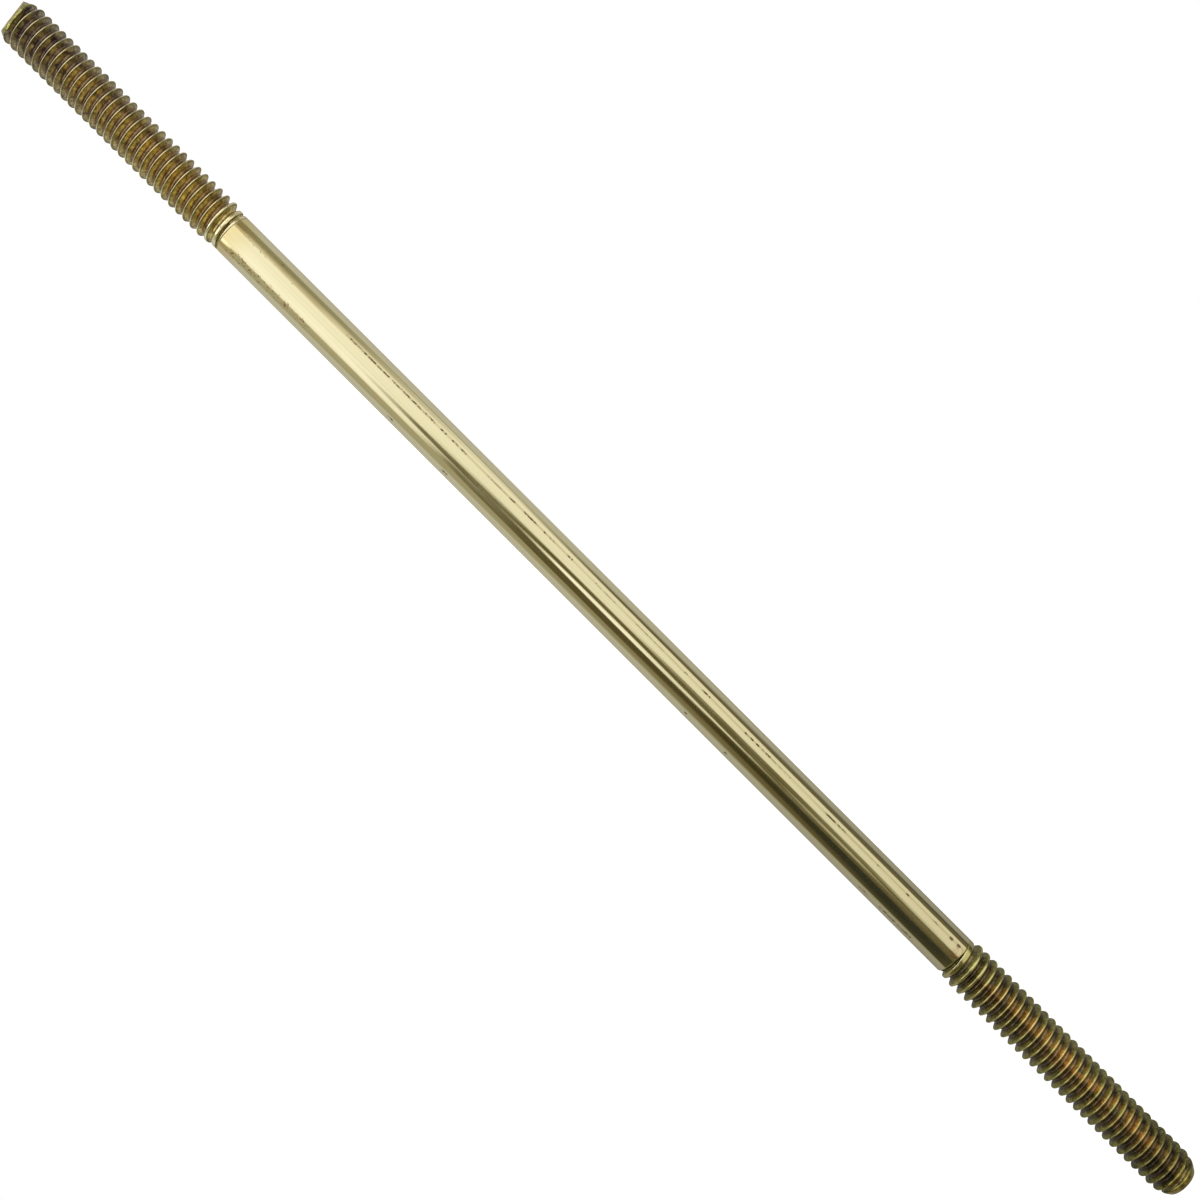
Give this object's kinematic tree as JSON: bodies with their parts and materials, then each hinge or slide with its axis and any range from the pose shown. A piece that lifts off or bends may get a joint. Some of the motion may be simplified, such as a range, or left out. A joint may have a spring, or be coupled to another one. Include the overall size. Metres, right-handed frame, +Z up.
{
  "type": "toilet float rod",
  "caption": "Straight round brass rod with a screw thread rolled on each end, joining a tank float to the arm of its fill valve.",
  "frame": {"origin": "on the rod's axis, where the full thread of the valve end stops: the plane up to which it is screwed in", "axes": "+X along the rod from the valve end to the float end, as it lies in a full tank; +Z up"},
  "size_m": [0.2061, 0.0062, 0.0062],
  "materials": {
    "brass": "drawn and polished shank, rolled threads darkened by tarnish"
  },
  "bodies": {
    "root": {"float_rod": "brass"}
  },
  "joints": []
}
